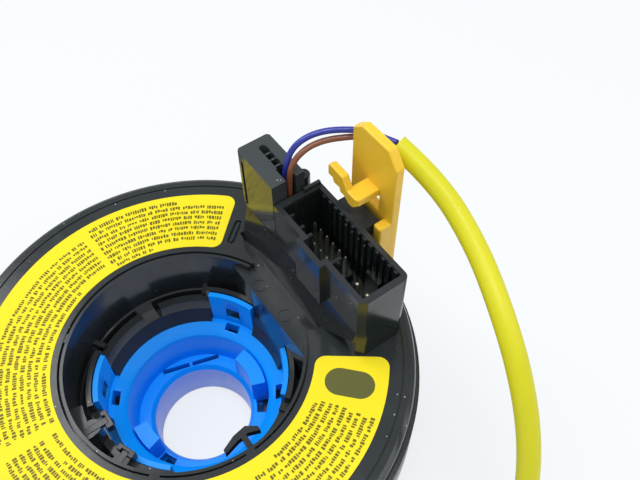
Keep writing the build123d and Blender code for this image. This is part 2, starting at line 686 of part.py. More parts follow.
# Connector, its front panel, the wing under the terminal box and the ledge
with BuildPart() as upper_connector:
    with BuildSketch(Plane.XY.offset(top_z)):
        with Locations(((conn_x0 + conn_x1) / 2, (conn_y0 + conn_y1) / 2)):
            Rectangle(conn_x1 - conn_x0, conn_y1 - conn_y0)
    extrude(amount=conn_h)
    right_edges = upper_connector.edges().filter_by(Axis.Z).group_by(Axis.X)[-1]
    fillet(right_edges.sort_by(Axis.Y)[-1], 1.6)
    right_edges = upper_connector.edges().filter_by(Axis.Z).group_by(Axis.X)[-1]
    chamfer(right_edges.sort_by(Axis.Y)[0], 1.5)
    # bay that stands out of the front
    with BuildSketch(Plane.XY.offset(bay_z)):
        with Locations(((bay_x0 + bay_x1) / 2, conn_y0 + (conn_wall - bay_out) / 2)):
            Rectangle(bay_x1 - bay_x0, conn_wall + bay_out)
    extrude(amount=conn_top_z - bay_z)
    # skirt that slopes out of the front and reaches down into the pocket
    with BuildSketch(Plane.YZ.offset(pocket_x0)):
        with BuildLine():
            Polyline(
                (conn_y0 + conn_wall, plate_z),
                (conn_y0 - skirt_out, plate_z),
                (conn_y0, skirt_top_z),
                (conn_y0 + conn_wall, skirt_top_z),
                close=True,
            )
        make_face()
    extrude(amount=skirt_x1 - pocket_x0)
    # right of the pocket its lower edge rises, so that it clears the label
    with BuildSketch(Plane.XZ.offset(-conn_y0)):
        with BuildLine():
            Polyline(
                (pocket_x1 - 0.3, plate_z),
                (pocket_x1 - 0.3, plate_z + 1.5),
                (skirt_x1, plate_z + 8.0),
                (skirt_x1, plate_z),
                close=True,
            )
        make_face()
    extrude(amount=skirt_out + 0.1, mode=Mode.SUBTRACT)
    with BuildSketch(Plane.XY.offset(plate_z)):
        with Locations(((pocket_x1 + skirt_x1) / 2 + 0.5, conn_y0)):
            Rectangle(skirt_x1 - pocket_x1 + 1.0, 2 * (skirt_out + conn_wall))
    extrude(amount=cover_t, mode=Mode.SUBTRACT)
    # wing under the terminal box
    with BuildSketch(Plane.XY.offset(top_z)):
        with Locations(((pocket_x0 + conn_x0) / 2, (conn_y0 + box_y1 - 0.6) / 2)):
            Rectangle(conn_x0 - pocket_x0 + 0.02, box_y1 - 0.6 - conn_y0)
    extrude(amount=box_z0 - top_z)
    # marks of the mould's ejector pins on the skirt
    skirt_angle = atan2(skirt_out, skirt_top_z - plate_z)
    skirt_plane = Plane(
        origin=(0, conn_y0 - skirt_out, plate_z),
        x_dir=(1, 0, 0),
        z_dir=(0, -cos(skirt_angle), sin(skirt_angle)),
    )
    with BuildSketch(skirt_plane):
        with Locations((-11.7, 9.6), (-1.4, 6.9), (13.3, 6.1)):
            Circle(1.5)
            Circle(1.3, mode=Mode.SUBTRACT)
    extrude(amount=-0.15, mode=Mode.SUBTRACT)
    # cavity
    cavity_x0 = conn_x0 + conn_end_wall
    cavity_x1 = conn_x1 - conn_end_wall
    cavity_y0 = conn_y0 + conn_wall
    cavity_y1 = conn_y1 - 1.2
    with BuildSketch(Plane.XY.offset(socket_floor_z)):
        with Locations(((cavity_x0 + cavity_x1) / 2, (cavity_y0 + cavity_y1) / 2)):
            Rectangle(cavity_x1 - cavity_x0, cavity_y1 - cavity_y0)
        with Locations(((bay_x0 + bay_x1) / 2, cavity_y0)):
            Rectangle(bay_x1 - bay_x0 - 2.6, 2 * bay_out)
    extrude(amount=conn_top_z - socket_floor_z, mode=Mode.SUBTRACT)
    # dividers, ribs and teeth on the inner walls
    with BuildSketch(Plane.XY.offset(socket_floor_z)):
        with Locations((2.4, cavity_y0 + 0.7)):
            Rectangle(0.8, 1.8)
        with Locations((11.05, cavity_y0 + 1.4)):
            Rectangle(0.8, 3.2)
        with Locations((-4.3, cavity_y0 + 0.7), (-0.4, cavity_y0 + 0.7)):
            Rectangle(0.7, 1.6)
    extrude(amount=conn_h - socket_floor_h - 1.0)
    with BuildSketch(Plane.XY.offset(socket_floor_z)):
        with Locations(*[(-4.25 + 2.1 * i, cavity_y1 - 0.1) for i in range(13)]):
            Rectangle(0.9, 0.6)
    extrude(amount=conn_h - socket_floor_h - 0.6)
    with BuildSketch(Plane.XY.offset(socket_floor_z)):
        with Locations((14.85, cavity_y1 - 0.4)):
            Rectangle(4.5, 1.4)
    extrude(amount=56.4 - socket_floor_z)
    # small bars on the rim's left end
    with BuildSketch(Plane.XY.offset(conn_top_z)):
        with Locations((conn_x0 + 0.7, conn_y1 - 2.6)):
            Rectangle(0.8, 4.4)
    extrude(amount=1.2)
    # ledge for the lock key's hook, with a gusset at each end
    with BuildSketch(Plane.XY.offset(ledge_z)):
        with Locations(((ledge_x0 + ledge_x1) / 2, (conn_y1 + ledge_y1) / 2)):
            Rectangle(ledge_x1 - ledge_x0, ledge_y1 - conn_y1)
    extrude(amount=-1.8)
    for x in (ledge_x0, ledge_x1 - 1.2):
        with BuildSketch(Plane.YZ.offset(x)):
            with BuildLine():
                Polyline(
                    (conn_y1, ledge_z - 1.8),
                    (ledge_y1 - 0.6, ledge_z - 1.8),
                    (conn_y1, ledge_z - 8.0),
                    close=True,
                )
            make_face()
        extrude(amount=1.2)
    # holes for the pins
    with BuildSketch(Plane.XY.offset(top_z)):
        with Locations(*signal_at):
            Rectangle(pin_size + pin_gap, pin_size + pin_gap)
        with Locations(*power_at):
            Rectangle(power_size + pin_gap, power_size + pin_gap)
    extrude(amount=socket_floor_h, mode=Mode.SUBTRACT)
upper_connector.part.label = "upper_connector"
export_step(upper_connector.part, "parts/upper_connector.step")

# Box that holds the airbag wires' terminals, with four cells open at the top
slot_x0 = -20.5
slot_x1 = -12.6
slot_w = 1.8
slot_y = (conn_y0 + box_y1) / 2 + 0.8
exit_w = 2.6
slot_z = 66.0
wire_floor_z = 62.0
groove_x = -20.8

with BuildPart() as terminal_box:
    with BuildSketch(Plane.XY.offset(box_z0)):
        with Locations(((box_x0 + box_x1) / 2, (conn_y0 + box_y1) / 2)):
            Rectangle(box_x1 - box_x0, box_y1 - conn_y0)
    extrude(amount=box_z1 - box_z0)
    chamfer(terminal_box.edges().filter_by(Axis.Z).group_by(Axis.X)[0], 0.6)
    with BuildSketch(Plane.XY.offset(box_z1)):
        with Locations(((slot_x0 + slot_x1) / 2 + slot_w / 4, slot_y)):
            Rectangle(slot_x1 - slot_x0 - slot_w / 2, slot_w)
        with Locations((slot_x0 + slot_w / 2, slot_y)):
            Circle(slot_w / 2)
    extrude(amount=slot_z - box_z1, mode=Mode.SUBTRACT)
    # partitions between the cells
    with BuildSketch(Plane.XY.offset(slot_z)):
        with Locations(((slot_x0 + slot_x1) / 2, slot_y)):
            with GridLocations(2.1, 0, 3, 1):
                Rectangle(0.5, slot_w + 0.4)
    extrude(amount=box_z1 - 1.4 - slot_z)
    # open end that the wires leave through
    with BuildSketch(Plane.XY.offset(box_z1)):
        with Locations(((slot_x1 + box_x1) / 2, slot_y)):
            Rectangle(box_x1 - slot_x1, exit_w)
    extrude(amount=wire_floor_z - box_z1, mode=Mode.SUBTRACT)
    # groove down the front face
    with BuildSketch(Plane.XY.offset(box_z0)):
        with Locations((groove_x, conn_y0)):
            Rectangle(1.0, 1.2)
    extrude(amount=box_z1 - 2.5 - box_z0, mode=Mode.SUBTRACT)
terminal_box.part.label = "terminal_box"
export_step(terminal_box.part, "parts/terminal_box.step")

# Post that the wires bend round
with BuildPart() as wire_clip:
    with BuildSketch(Plane.XY.offset(top_z)):
        with Locations((-11.5, conn_y1 - 2.1)):
            Circle(1.6)
    extrude(amount=67.0 - top_z)
    fillet(wire_clip.edges().group_by(Axis.Z)[-1], 0.5)
wire_clip.part.label = "wire_clip"
export_step(wire_clip.part, "parts/wire_clip.step")

# Carrier under the cover for the strips that join the pins to the flat cables
pin_bottom_z = plate_z - lead_frame_t + 1.0

with BuildPart() as lead_frame:
    with BuildSketch(Plane.XY.offset(plate_z)):
        add(sector(drum_r, cover_r - 6.5, 50, 127))
    extrude(amount=-lead_frame_t)
    with BuildSketch(Plane.XY.offset(plate_z)):
        with Locations(*signal_at):
            Rectangle(pin_size, pin_size)
        with Locations(*power_at):
            Rectangle(power_size, power_size)
    extrude(amount=pin_bottom_z - plate_z, mode=Mode.SUBTRACT)
lead_frame.part.label = "lead_frame"
export_step(lead_frame.part, "parts/lead_frame.step")

with BuildPart() as inner_terminal_block:
    with BuildSketch(Plane.XY.offset(plate_z - lead_frame_t)):
        add(sector(drum_r, coil_r0 + band_t / 2 + 0.1, 90 - block_az, 90 + block_az - 0.1))
    extrude(amount=band_z0 - plate_z + lead_frame_t)
inner_terminal_block.part.label = "inner_terminal_block"
export_step(inner_terminal_block.part, "parts/inner_terminal_block.step")

with BuildPart() as signal_pins:
    with BuildSketch(Plane.XY.offset(pin_bottom_z)):
        with Locations(*signal_at):
            Rectangle(pin_size, pin_size)
    extrude(amount=pin_tip_z - 0.8 - pin_bottom_z)
    with BuildSketch(Plane.XY.offset(pin_tip_z - 0.8)):
        with Locations(*signal_at):
            Rectangle(pin_size, pin_size)
    extrude(amount=0.8, taper=14)
signal_pins.part.label = "signal_pins"
export_step(signal_pins.part, "parts/signal_pins.step")

with BuildPart() as power_pins:
    with BuildSketch(Plane.XY.offset(pin_bottom_z)):
        with Locations(*power_at):
            Rectangle(power_size, power_size)
    extrude(amount=pin_tip_z - 1.0 - pin_bottom_z)
    with BuildSketch(Plane.XY.offset(pin_tip_z - 1.0)):
        with Locations(*power_at):
            Rectangle(power_size, power_size)
    extrude(amount=1.0, taper=18)
power_pins.part.label = "power_pins"
export_step(power_pins.part, "parts/power_pins.step")

# Block round the feet of the signal pins, on the connector's floor
insert_x0 = -5.5
insert_x1 = 9.2
insert_y0 = pin_row_y[1] - 1.3
insert_y1 = pin_row_y[0] + 1.3
insert_h = 3.0

with BuildPart() as pin_insert:
    with BuildSketch(Plane.XY.offset(socket_floor_z)):
        with Locations(((insert_x0 + insert_x1) / 2, (insert_y0 + insert_y1) / 2)):
            Rectangle(insert_x1 - insert_x0, insert_y1 - insert_y0)
        with Locations(*signal_at):
            Rectangle(pin_size + pin_gap, pin_size + pin_gap, mode=Mode.SUBTRACT)
    extrude(amount=insert_h)
pin_insert.part.label = "pin_insert"
export_step(pin_insert.part, "parts/pin_insert.step")

# Lock key, pulled up and off once the wheel is on
plate_bottom_z = top_z + seat_gap
tongue_z = 41.0
arm_z = 72.0

with BuildPart() as lock_key:
    with BuildSketch(Plane.XZ.offset(-key_y0)):
        with BuildLine():
            Polyline(
                (key_x0, plate_bottom_z),
                (key_x0, key_top_z - 2.15),
                (key_x0 + 2.75, key_top_z),
                (8.3, key_top_z),
                (11.7, key_top_z - 2.1),
                (key_x1, key_top_z - 5.3),
                (key_x1, plate_bottom_z),
                close=True,
            )
        make_face()
    extrude(amount=-key_t)
    # foot that stands on the disc, and its tongue through the slot
    with BuildSketch(Plane.XY.offset(plate_bottom_z)):
        with Locations((tongue_x, tongue_y)):
            Rectangle(key_foot_x1 - key_foot_x0, key_y0 - key_foot_y0)
    extrude(amount=key_foot_z - plate_bottom_z)
    with BuildSketch(Plane.XY.offset(plate_bottom_z)):
        with Locations((tongue_x, tongue_y)):
            Rectangle(tongue_w, tongue_l)
    extrude(amount=tongue_z - plate_bottom_z)
    # arm and hook over the ledge
    with BuildSketch(Plane.XY.offset(arm_z)):
        with Locations(((1.5 + 6.2) / 2, (conn_y1 + 0.6 + key_y0) / 2)):
            Rectangle(6.2 - 1.5, key_y0 - conn_y1 - 0.6)
    extrude(amount=-3.8)
    with BuildSketch(Plane.XZ.offset(-conn_y1 - 1.0)):
        with BuildLine():
            Polyline(
                (-6.4, arm_z - 0.4),
                (-6.4, arm_z - 3.2),
                (-4.6, arm_z - 3.6),
                (-4.6, arm_z - 5.2),
                (0, arm_z - 5.2),
                (1, ledge_z + 1.3),
                (4.6, ledge_z + 1.3),
                (6.2, arm_z - 4.5),
                (6.2, arm_z),
                (1.5, arm_z),
                (1.2, arm_z - 2.8),
                (-0.4, arm_z - 2.8),
                (-0.8, arm_z - 0.4),
                close=True,
            )
        make_face()
    extrude(amount=-2.5)
lock_key.part.label = "lock_key"
export_step(lock_key.part, "parts/lock_key.step")

# Airbag lead: two wires into a yellow sleeve, with a plug at the far end

sleeve_points = [
    (4.4, plate_y1 + 3.1, 81.6),
    (14.0, plate_y1 + 6.1, 77.6),
    (28.3, plate_y1 + 4.7, 72.8),
    (41.5, plate_y1 - 0.3, 70.4),
    (52.2, plate_y1 - 3.7, 63.8),
    (60.9, plate_y1 - 6.5, 53.0),
    (67.6, plate_y1 - 10.5, 40.8),
    (73.6, plate_y1 - 15.9, 28.9),
    (79.4, plate_y1 - 22.9, 18.2),
    (84.4, plate_y1 - 32.1, 10.2),
    (87.4, plate_y1 - 43.5, 4.8),
    (86.9, plate_y1 - 55.7, 2.5),
    (82.6, plate_y1 - 67.1, 2.55),
    (75.6, plate_y1 - 77.1, 2.5),
    (66.4, plate_y1 - 85.1, 2.5),
]
wire_spread = 0.85
lead_start = Vector(*sleeve_points[0])
lead_dir = (Vector(*sleeve_points[1]) - lead_start).normalized()
lead_side = lead_dir.cross(Vector(0, 1, 0)).normalized()
lead_end = Vector(*sleeve_points[-1])
end_dir = (lead_end - Vector(*sleeve_points[-2])).normalized()
wire_dir = Vector(lead_dir.X, lead_dir.Y, 0).normalized()

blue_end = lead_start + lead_side * wire_spread - wire_dir * 0.26
brown_end = lead_start - lead_side * wire_spread - wire_dir * 0.26
blue_points = [
    (-11.4, slot_y - 0.1, wire_floor_z),
    (-11.2, slot_y, 71.0),
    (-10.9, slot_y + 2.6, 77.0),
    (-9.6, slot_y + 8.8, 79.3),
    (-5.6, plate_y1 + 0.9, 79.9),
    tuple(blue_end - wire_dir * 4.5),
    tuple(blue_end),
]
brown_points = [
    (-9.6, slot_y + 0.1, wire_floor_z),
    (-9.5, slot_y, 70.4),
    (-9.2, slot_y + 2.0, 74.8),
    (-8.8, slot_y + 8.0, 76.6),
    (-5.4, plate_y1 + 0.9, 77.6),
    tuple(brown_end - wire_dir * 3.8),
    tuple(brown_end),
]

route, radii = rounded_route(blue_points, "wire_blue", wire_d)
with BuildPart() as wire_blue:
    with BuildLine() as blue_line:
        FilletPolyline(*route, radius=radii)
    with BuildSketch(Plane(origin=route[0], z_dir=route[1] - route[0])):
        Circle(wire_d / 2)
    sweep(path=blue_line.wire())
wire_blue.part.label = "wire_blue"
export_step(wire_blue.part, "parts/wire_blue.step")
section = pi * wire_d**2 / 4
print("wire_blue volume ratio", wire_blue.part.volume / section / blue_line.wire().length)

route, radii = rounded_route(brown_points, "wire_brown", wire_d)
with BuildPart() as wire_brown:
    with BuildLine() as brown_line:
        FilletPolyline(*route, radius=radii)
    with BuildSketch(Plane(origin=route[0], z_dir=route[1] - route[0])):
        Circle(wire_d / 2)
    sweep(path=brown_line.wire())
wire_brown.part.label = "wire_brown"
export_step(wire_brown.part, "parts/wire_brown.step")
print("wire_brown volume ratio", wire_brown.part.volume / section / brown_line.wire().length)

route, radii = rounded_route(sleeve_points, "lead_sleeve", lead_d)
with BuildPart() as lead_sleeve:
    with BuildLine() as sleeve_line:
        FilletPolyline(*route, radius=radii)
    with BuildSketch(Plane(origin=route[0], z_dir=route[1] - route[0])):
        Circle(lead_d / 2)
    sweep(path=sleeve_line.wire())
lead_sleeve.part.label = "lead_sleeve"
export_step(lead_sleeve.part, "parts/lead_sleeve.step")
section = pi * lead_d**2 / 4
print("lead_sleeve volume ratio", lead_sleeve.part.volume / section / sleeve_line.wire().length)
print("lengths", blue_line.wire().length, brown_line.wire().length, sleeve_line.wire().length)

# plug that lies on the floor, with two contacts in its front
plug_l = 15.0
plug_w = 11.0
plug_h = 5.0
contact_at = (-2.2, 2.2)
plug_plane = Plane(origin=lead_end, x_dir=end_dir.cross(Vector(0, 0, 1)), z_dir=end_dir)

with BuildPart() as lead_plug:
    with BuildSketch(plug_plane):
        Rectangle(plug_w, plug_h)
    extrude(amount=plug_l)
    with BuildSketch(plug_plane.offset(plug_l)):
        with Locations(*[(x, 0) for x in contact_at]):
            Rectangle(2.2, 2.6)
    extrude(amount=-8.0, mode=Mode.SUBTRACT)
    with BuildSketch(plug_plane.offset(3.0)):
        with Locations((-plug_w / 2, 0), (plug_w / 2, 0)):
            Rectangle(1.6, 2.4)
    extrude(amount=5.0, mode=Mode.SUBTRACT)
lead_plug.part.label = "lead_plug"
export_step(lead_plug.part, "parts/lead_plug.step")

with BuildPart() as lead_plug_contacts:
    with BuildSketch(plug_plane.offset(plug_l - 8.0)):
        with Locations(*[(x, 0) for x in contact_at]):
            Rectangle(1.6, 1.6)
    extrude(amount=6.0)
lead_plug_contacts.part.label = "lead_plug_contacts"
export_step(lead_plug_contacts.part, "parts/lead_plug_contacts.step")
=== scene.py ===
from math import cos, pi, radians, sin
from random import Random

import bmesh
import bpy
from mathutils import Matrix, Vector


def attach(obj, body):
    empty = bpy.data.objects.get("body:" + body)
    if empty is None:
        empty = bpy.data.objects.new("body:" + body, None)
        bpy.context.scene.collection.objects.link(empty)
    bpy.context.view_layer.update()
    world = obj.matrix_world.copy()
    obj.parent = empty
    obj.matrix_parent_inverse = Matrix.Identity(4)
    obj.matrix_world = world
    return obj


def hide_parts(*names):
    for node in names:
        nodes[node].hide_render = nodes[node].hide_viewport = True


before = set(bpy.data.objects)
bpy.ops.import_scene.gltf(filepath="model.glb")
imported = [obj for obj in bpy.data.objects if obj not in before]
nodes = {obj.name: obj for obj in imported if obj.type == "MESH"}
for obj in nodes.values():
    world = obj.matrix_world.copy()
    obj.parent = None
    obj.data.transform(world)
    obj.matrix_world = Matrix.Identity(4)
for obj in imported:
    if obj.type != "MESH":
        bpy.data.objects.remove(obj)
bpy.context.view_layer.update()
scene = bpy.context.scene
scene.view_settings.view_transform = "Standard"

MM = 0.001

# Sizes of the CAD model that pieces here are placed by, in millimetres

OPENING_R = 26.9
LABEL_Z = 44.15  # top of the label
PLATE_Y1 = 51.1  # back of the lock key's plate
KEY_T = 2.3
KEY_Y0 = PLATE_Y1 - KEY_T
CONN_Y1 = KEY_Y0 - 5.4  # back of the connector
SLOT_Y = 36.1  # middle of the terminal box's slot


def mm(point):
    """A point given in millimetres, in metres."""
    return Vector(point) * MM


def polar(r, az):
    """The point at a radius and a direction in degrees round the shaft."""
    return r * cos(radians(az)), r * sin(radians(az))


# Camera: above the connector's right end, looking down into the hub.

view_right = Vector((0.58193, 0.81320, -0.00750))
view_up = Vector((-0.65392, 0.47339, 0.59016))
view_back = view_right.cross(view_up)
eye = mm((82.12, -19.84, 194.07))
camera_data = bpy.data.cameras.new("camera")
camera_data.sensor_width = 36.0
camera_data.lens = 41.96
camera_data.clip_start = 0.005
camera_data.clip_end = 20.0
camera = bpy.data.objects.new("camera", camera_data)
scene.collection.objects.link(camera)
turn = Matrix((view_right, view_up, view_back)).transposed().to_4x4()
camera.matrix_world = Matrix.Translation(eye) @ turn
scene.camera = camera


# Materials

def linear(hex_colour):
    """The linear colour of an sRGB hex value."""
    parts = [int(hex_colour[i:i + 2], 16) / 255 for i in (1, 3, 5)]
    parts = [c / 12.92 if c <= 0.04045 else ((c + 0.055) / 1.055) ** 2.4 for c in parts]
    return (*parts, 1.0)


def add(tree, kind, settings=None, **inputs):
    """A shader node with its settings, and its inputs as values or links."""
    node = tree.nodes.new(kind)
    for name, value in (settings or {}).items():
        setattr(node, name, value)
    for name, value in inputs.items():
        key = int(name[1:]) if name[0] == "i" and name[1:].isdigit() else name.replace("_", " ")
        socket = node.inputs[key]
        if isinstance(value, bpy.types.NodeSocket):
            tree.links.new(value, socket)
        else:
            socket.default_value = value
    return node


def surface(name):
    """A new material's tree, its principled shader and the piece's own coordinates."""
    material = bpy.data.materials.new(name)
    material.use_nodes = True
    tree = material.node_tree
    shader = tree.nodes["Principled BSDF"]
    place = add(tree, "ShaderNodeTexCoord").outputs["Object"]
    return material, tree, shader, place


def per_mm(size):
    """The texture scale that repeats each so many millimetres."""
    return 1.0 / (size * MM)


HAZE = 3.5  # size of the clouds in a moulding's gloss, in millimetres
GRAIN_DEPTH = 0.03  # depth of its grain


def moulded(name, colour, light, roughness, grain, relief, ior=1.53, cloud=9.0):
    """Moulded plastic: two close tones in slow clouds, uneven gloss and a fine grain."""
    material, tree, shader, place = surface(name)
    slow = add(tree, "ShaderNodeTexNoise", None, Vector=place, Scale=per_mm(cloud), Detail=3.0)
    tone = add(tree, "ShaderNodeMix", {"data_type": "RGBA"},
               i0=slow.outputs["Fac"], i6=linear(colour), i7=linear(light))
    tree.links.new(tone.outputs[2], shader.inputs["Base Color"])
    haze = add(tree, "ShaderNodeTexNoise", None,
               Vector=place, Scale=per_mm(HAZE), Detail=5.0, Roughness=0.65)
    gloss = add(tree, "ShaderNodeMapRange", None, Value=haze.outputs["Fac"],
                From_Min=0.3, From_Max=0.7, To_Min=roughness - 0.06, To_Max=roughness + 0.07)
    tree.links.new(gloss.outputs["Result"], shader.inputs["Roughness"])
    pits = add(tree, "ShaderNodeTexNoise", None, Vector=place, Scale=per_mm(grain), Detail=2.0)
    bump = add(tree, "ShaderNodeBump", None,
               Strength=relief, Distance=GRAIN_DEPTH * MM, Height=pits.outputs["Fac"])
    tree.links.new(bump.outputs["Normal"], shader.inputs["Normal"])
    shader.inputs["IOR"].default_value = ior
    return material


def overlay(material, share, colour):
    """Lays another colour over a material's own, by a share from nought to one."""
    tree = material.node_tree
    shader = tree.nodes["Principled BSDF"]
    plain = shader.inputs["Base Color"].links[0].from_socket
    tone = add(tree, "ShaderNodeMix", {"data_type": "RGBA"}, i0=share, i6=plain, i7=linear(colour))
    tree.links.new(tone.outputs[2], shader.inputs["Base Color"])


def lit_through(material, weight, reach, depth):
    """Lets light a little way into a material, with a reach for red, green and blue."""
    shader = material.node_tree.nodes["Principled BSDF"]
    shader.inputs["Subsurface Weight"].default_value = weight
    shader.inputs["Subsurface Radius"].default_value = reach
    shader.inputs["Subsurface Scale"].default_value = depth * MM


DUST_GAP = 2.6  # from speck to speck, in millimetres
DUST_PATCH = 8.0  # size of the patches that have specks
SPECK = 0.075  # a speck's radius, as a share of that gap


def dusty(material):
    """Sparse pale specks of dust and tiny chips over a material's colour."""
    tree = material.node_tree
    place = add(tree, "ShaderNodeTexCoord").outputs["Object"]
    cells = add(tree, "ShaderNodeTexVoronoi", None, Vector=place, Scale=per_mm(DUST_GAP))
    speck = add(tree, "ShaderNodeMath", {"operation": "LESS_THAN"},
                i0=cells.outputs["Distance"], i1=SPECK)
    patches = add(tree, "ShaderNodeTexNoise", None,
                  Vector=place, Scale=per_mm(DUST_PATCH), Detail=2.0)
    some = add(tree, "ShaderNodeMath", {"operation": "GREATER_THAN"},
               i0=patches.outputs["Fac"], i1=0.52)
    both = add(tree, "ShaderNodeMath", {"operation": "MULTIPLY"},
               i0=speck.outputs[0], i1=some.outputs[0])
    overlay(material, both.outputs[0], "#8F9496")


# Glass-filled nylon, spark-eroded mould: black with a soft, even sheen.
case_nylon = moulded("case_nylon", "#212527", "#2A2E30", 0.26, 0.35, 0.3, 1.5)
# Acetal blend of the turning disc, polished mould: charcoal black, sharper highlights.
disc_acetal = moulded("disc_acetal", "#25292B", "#303537", 0.16, 0.4, 0.16, 1.4)
# PBT of the connector, polished mould: charcoal black that mirrors what is beside it.
connector_pbt = moulded("connector_pbt", "#272B2C", "#313538", 0.12, 0.3, 0.15, 1.36)
# The same PBT on the terminal box, a little greyer.
box_pbt = moulded("box_pbt", "#34393A", "#3D4244", 0.14, 0.3, 0.15, 1.5)
for black in (case_nylon, disc_acetal, connector_pbt, box_pbt):
    dusty(black)

# Bounds of the connector's socket, where painted shade darkens its black
SOCKET_Y0 = 32.4
SOCKET_Y1 = 42.9
SOCKET_Z1 = 65.2


def socket_painted_shade(tree):
    """One between the connector's front and back walls and below its rim, else nought."""
    place = add(tree, "ShaderNodeTexCoord").outputs["Object"]
    axes = add(tree, "ShaderNodeSeparateXYZ", None, Vector=place)
    below_rim = add(tree, "ShaderNodeMath", {"operation": "LESS_THAN"},
                    i0=axes.outputs["Z"], i1=SOCKET_Z1 * MM)
    behind_front = add(tree, "ShaderNodeMath", {"operation": "GREATER_THAN"},
                       i0=axes.outputs["Y"], i1=SOCKET_Y0 * MM)
    before_back = add(tree, "ShaderNodeMath", {"operation": "LESS_THAN"},
                      i0=axes.outputs["Y"], i1=SOCKET_Y1 * MM)
    inside = add(tree, "ShaderNodeMath", {"operation": "MULTIPLY"},
                 i0=below_rim.outputs[0], i1=behind_front.outputs[0])
    inside = add(tree, "ShaderNodeMath", {"operation": "MULTIPLY"},
                 i0=inside.outputs[0], i1=before_back.outputs[0])
    return inside.outputs[0]


# Painted shade: the connector's socket is darkened below its rim, standing in for the little light
# that reaches into it.
overlay(connector_pbt, socket_painted_shade(connector_pbt.node_tree), "#1E2524")

# Within this radius the hub's colour is a painted pale light
BORE_WALL_R = 12.4  # a little more than the radius of the shaft's bore


def bore_wall_painted_light(tree):
    """One on the wall of the hub's bore for the shaft, else nought."""
    place = add(tree, "ShaderNodeTexCoord").outputs["Object"]
    flat = add(tree, "ShaderNodeVectorMath", {"operation": "MULTIPLY"},
               i0=place, i1=(1.0, 1.0, 0.0))
    radius = add(tree, "ShaderNodeVectorMath", {"operation": "LENGTH"}, i0=flat.outputs[0])
    near = add(tree, "ShaderNodeMath", {"operation": "LESS_THAN"},
               i0=radius.outputs["Value"], i1=BORE_WALL_R * MM)
    return near.outputs[0]


# Blue acetal of the hub: strong colour, waxy gloss.
hub_acetal = moulded("hub_acetal", "#0092FF", "#029CFF", 0.34, 0.45, 0.15, 1.36)
# Painted light: the wall of its bore is much paler than the rest, standing in for the white
# floor's light that falls up into it.
overlay(hub_acetal, bore_wall_painted_light(hub_acetal.node_tree), "#98B2EE")

# Natural acetal of the cable's carrier: milky white.
carrier_acetal = moulded("carrier_acetal", "#DAD8CF", "#E8E6DE", 0.38, 0.5, 0.15, 1.48)
# PBT of the airbag plug: warm yellow with a faint sheen.
plug_pbt = moulded("plug_pbt", "#E3B81C", "#EFC72C", 0.36, 0.4, 0.25)
# Polypropylene of the lock key: amber, light goes a little way in.
key_polypropylene = moulded("key_polypropylene", "#EABC2C", "#F1C83A", 0.34, 0.5, 0.12, 1.45)
lit_through(key_polypropylene, 0.25, (1.0, 0.8, 0.25), 0.8)
# Soft PVC sleeve of the lead: lemon yellow, smooth, with faint unevenness.
sleeve_pvc = moulded("sleeve_pvc", "#CDC914", "#D5D01C", 0.44, 1.2, 0.2, 1.42, 14.0)
lit_through(sleeve_pvc, 0.12, (1.0, 0.9, 0.1), 0.5)
# PVC insulation of the two wires: plain blue and plain brown, faint sheen.
wire_blue_pvc = moulded("wire_blue_pvc", "#1E2C8A", "#2A389C", 0.34, 0.6, 0.15)
wire_brown_pvc = moulded("wire_brown_pvc", "#74432A", "#855237", 0.38, 0.6, 0.15)

# Polyester film of the label: yellow all over.
label_film = moulded("label_film", "#EBD722", "#F0DD2C", 0.42, 2.5, 0.1, 1.36, 22.0)
# Screen-printed ink of the small print: opaque olive brown.
label_ink = moulded("label_ink", "#625D12", "#6E6918", 0.4, 0.5, 0.1)
# Ink of the round-ended badge: solid dark olive.
badge_ink = moulded("badge_ink", "#5A5B2C", "#626334", 0.36, 0.5, 0.1)
# Film and inks are almost mat, so lamps don't veil their colour.
for mat_finish in (label_film, label_ink, badge_ink):
    shader = mat_finish.node_tree.nodes["Principled BSDF"]
    shader.inputs["Specular IOR Level"].default_value = 0.18


def drawn_metal(name, colour, light, roughness, streak):
    """Plated strip: fine lengthwise streaks in tone and gloss."""
    material, tree, shader, place = surface(name)
    drawn = add(tree, "ShaderNodeMapping", None, Vector=place, Scale=(1.0, 1.0, 0.12))
    streaks = add(tree, "ShaderNodeTexNoise", None,
                  Vector=drawn.outputs["Vector"], Scale=per_mm(streak), Detail=3.0)
    tone = add(tree, "ShaderNodeMix", {"data_type": "RGBA"},
               i0=streaks.outputs["Fac"], i6=linear(colour), i7=linear(light))
    tree.links.new(tone.outputs[2], shader.inputs["Base Color"])
    gloss = add(tree, "ShaderNodeMapRange", None, Value=streaks.outputs["Fac"],
                To_Min=roughness - 0.05, To_Max=roughness + 0.1)
    tree.links.new(gloss.outputs["Result"], shader.inputs["Roughness"])
    shader.inputs["Metallic"].default_value = 1.0
    return material


# Tin-plated brass of the pins: pale warm grey, lightly drawn.
tinned_brass = drawn_metal("tinned_brass", "#DDD6C2", "#F2ECDB", 0.34, 0.2)


def flat_cable_film(pitch):
    """Strips of copper in clear polyester, one above the other at a pitch in millimetres."""
    material, tree, shader, place = surface("flat_cable_film")
    height = add(tree, "ShaderNodeSeparateXYZ", None, Vector=place).outputs["Z"]
    bands = add(tree, "ShaderNodeMath", {"operation": "MULTIPLY"},
                i0=height, i1=2 * pi / (pitch * MM))
    wave = add(tree, "ShaderNodeMath", {"operation": "SINE"}, i0=bands.outputs[0])
    strip = add(tree, "ShaderNodeMapRange", None, Value=wave.outputs[0],
                From_Min=-0.5, From_Max=-0.3)
    tone = add(tree, "ShaderNodeMix", {"data_type": "RGBA"},
               i0=strip.outputs["Result"], i6=linear("#D8D4C0"), i7=linear("#B5713C"))
    tree.links.new(tone.outputs[2], shader.inputs["Base Color"])
    shader.inputs["Roughness"].default_value = 0.3
    shader.inputs["Coat Weight"].default_value = 0.6
    return material


# Flat cable: bands of copper between paler film, under a clear gloss.
strip_cable = flat_cable_film(1.4)


# Finishes and moulded edges of the nodes that stay

